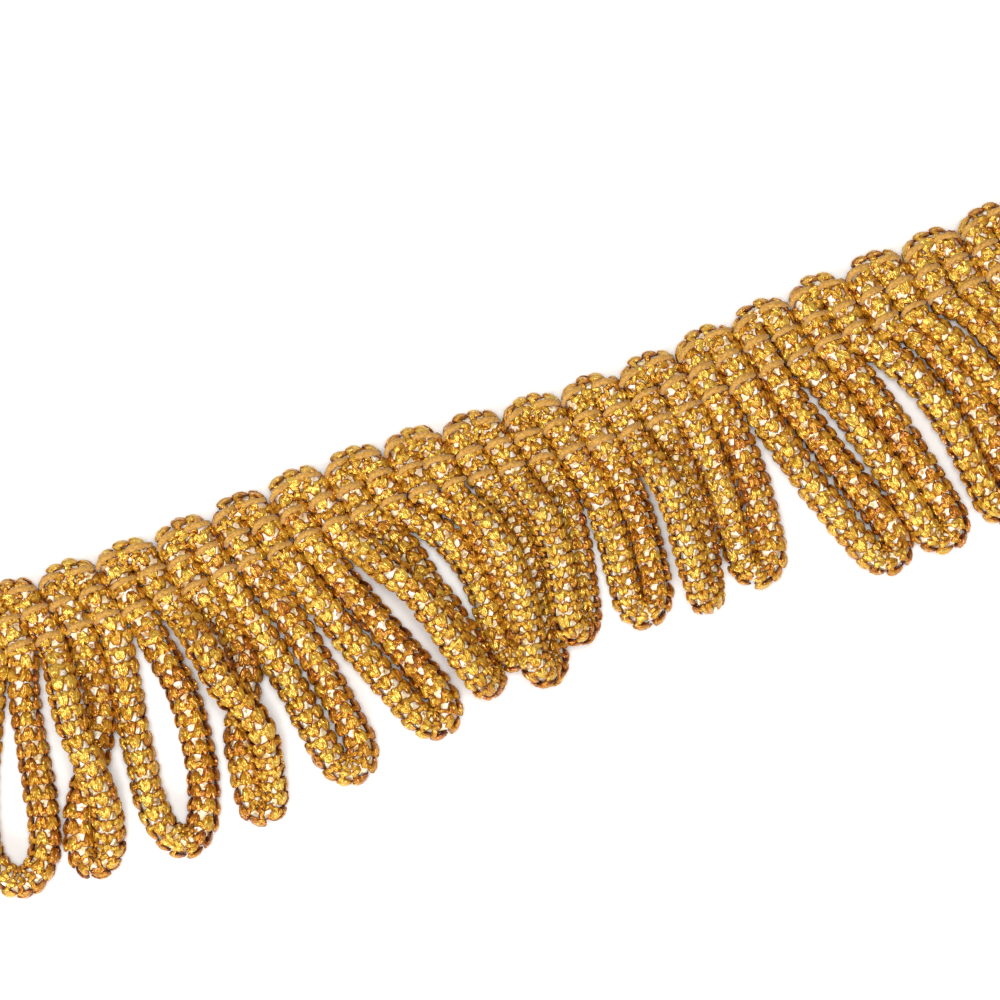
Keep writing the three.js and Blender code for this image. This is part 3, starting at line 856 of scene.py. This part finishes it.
# %% Binding stitches
ROWS = {"top": 1.2, "middle": 3.9, "lower": 6.9}    # mm below the top edge
THREAD_RADIUS = 0.36
THREAD_FLAT = 0.8               # the yarn's height over its width
THREAD_SIDES = 8
THREAD_STATIONS = 13
CHEVRON = 0.55                  # mm that the top row rises and falls over each turn
STITCH_DROP = 0.60              # mm that each stitch starts lower than the last one ended
STITCH_BOW = 0.48               # mm that its middle bows towards the top edge
BOW_EARLY = 0.7                 # under 1, so that it is fullest nearer the stitch's start
SPREADS = {"length": (0.84, 0.98), "bow": (0.7, 1.3), "drop": (0.6, 1.4), "radius": (0.88, 1.1)}
PLACE_SPREAD = 0.10             # mm that a stitch is off its place
DIVE_HEIGHT = 1.6               # mm above the table where a stitch dives in
PROUD = 0.25                    # mm that its middle stands above the cord
ARCH_SQUARE = 0.5               # exponent of the arch: less is flatter on top
END_SHARE = 0.55                # of the thread's radius, left at its ends
END_ROUND = 0.8                 # exponent of the swelling from there
PLY_DEPTH = 0.16                # of the groove between the plies, as a share of the radius
PLY_TURNS = 1.6                 # in one stitch
FIBRE_NOISE = 0.25              # mm across the coarsest noise
FIBRE_RELIEF = 0.06             # mm


def binding_stitches(row_depth, chevron):
    """Every stitch of a row: a bent, tapered tube with closed ends."""
    t = np.linspace(0, 1, THREAD_STATIONS)
    corner = np.arange(THREAD_SIDES) * 2 * np.pi / THREAD_SIDES
    ply = 1 + PLY_DEPTH * np.cos(2 * (corner[None, :] - 2 * np.pi * t[:, None] * PLY_TURNS))
    arch = np.sin(np.pi * np.clip(0.03 + 0.94 * t, 0, 1)) ** ARCH_SQUARE
    z = DIVE_HEIGHT + (2 * CORD_HALF_HEIGHT + PROUD - DIVE_HEIGHT) * arch
    swelling = np.sin(np.pi * np.clip(0.06 + 0.9 * t, 0, 1)) ** END_ROUND
    vertices = []
    for number in range(TURNS * 2):
        middle = FIRST_TURN_X - PITCH / 2 + (number + 0.5) * LEG
        x = middle + LEG * rng.uniform(*SPREADS["length"]) * (t - 0.5) + rng.normal(0, PLACE_SPREAD)
        bow = STITCH_BOW * rng.uniform(*SPREADS["bow"]) * np.sin(np.pi * t ** BOW_EARLY)
        drop = STITCH_DROP * rng.uniform(*SPREADS["drop"]) + chevron * (-1) ** number
        depth = row_depth + drop * (0.5 - t) - bow + rng.normal(0, PLACE_SPREAD)
        centre = np.column_stack([heading_point(x, depth), z])
        along = unit(np.gradient(centre, axis=0))
        side = unit(np.cross(along, [0, 0, 1]))
        up = np.cross(side, along)
        radius = THREAD_RADIUS * rng.uniform(*SPREADS["radius"]) * (
            END_SHARE + (1 - END_SHARE) * swelling)
        wide = radius[:, None] * ply
        vertices.append(
            centre[:, None, :]
            + (np.cos(corner) * wide)[..., None] * side[:, None, :]
            + (np.sin(corner) * wide * THREAD_FLAT)[..., None] * up[:, None, :])
    faces = tube_faces(THREAD_STATIONS, THREAD_SIDES)[:, ::-1]      # these sections run clockwise
    return np.array(vertices), repeated(faces, len(vertices), THREAD_STATIONS * THREAD_SIDES)


def thread_material(name, dark, light):
    """Matte spun yarn. Its fibres are drawn as fine noise, coarser than real ones of 0.02 mm."""
    material = new_material(name)
    where = add_node(material, "ShaderNodeTexCoord")
    fibres = add_node(material, "ShaderNodeTexNoise", inputs={
        "Vector": where.outputs["Object"], "Scale": 1 / (FIBRE_NOISE * MM), "Detail": 4.0})
    bump = add_node(material, "ShaderNodeBump", inputs={
        "Height": fibres.outputs["Fac"], "Strength": 0.5, "Distance": FIBRE_RELIEF * MM})
    shader = add_node(material, "ShaderNodeBsdfPrincipled", inputs={
        "Base Color": colour_ramp(material, fibres.outputs["Fac"], [(0.30, dark), (0.70, light)]),
        "Normal": bump.outputs["Normal"],
        "Roughness": 0.85, "Sheen Weight": 0.25, "Sheen Roughness": 0.4})
    return finish_material(material, shader)


spun_yarn = thread_material("spun_polyester_yarn", "#9C6A22", "#D3A24C")
for row, row_depth in ROWS.items():
    vertices, faces = binding_stitches(row_depth, CHEVRON if row == "top" else 0)
    piece = make_piece("chain_stitches_" + row, vertices, faces, spun_yarn, soft=True)
    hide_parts("binding_row_" + row)
    print("row", row, len(faces), "triangles")
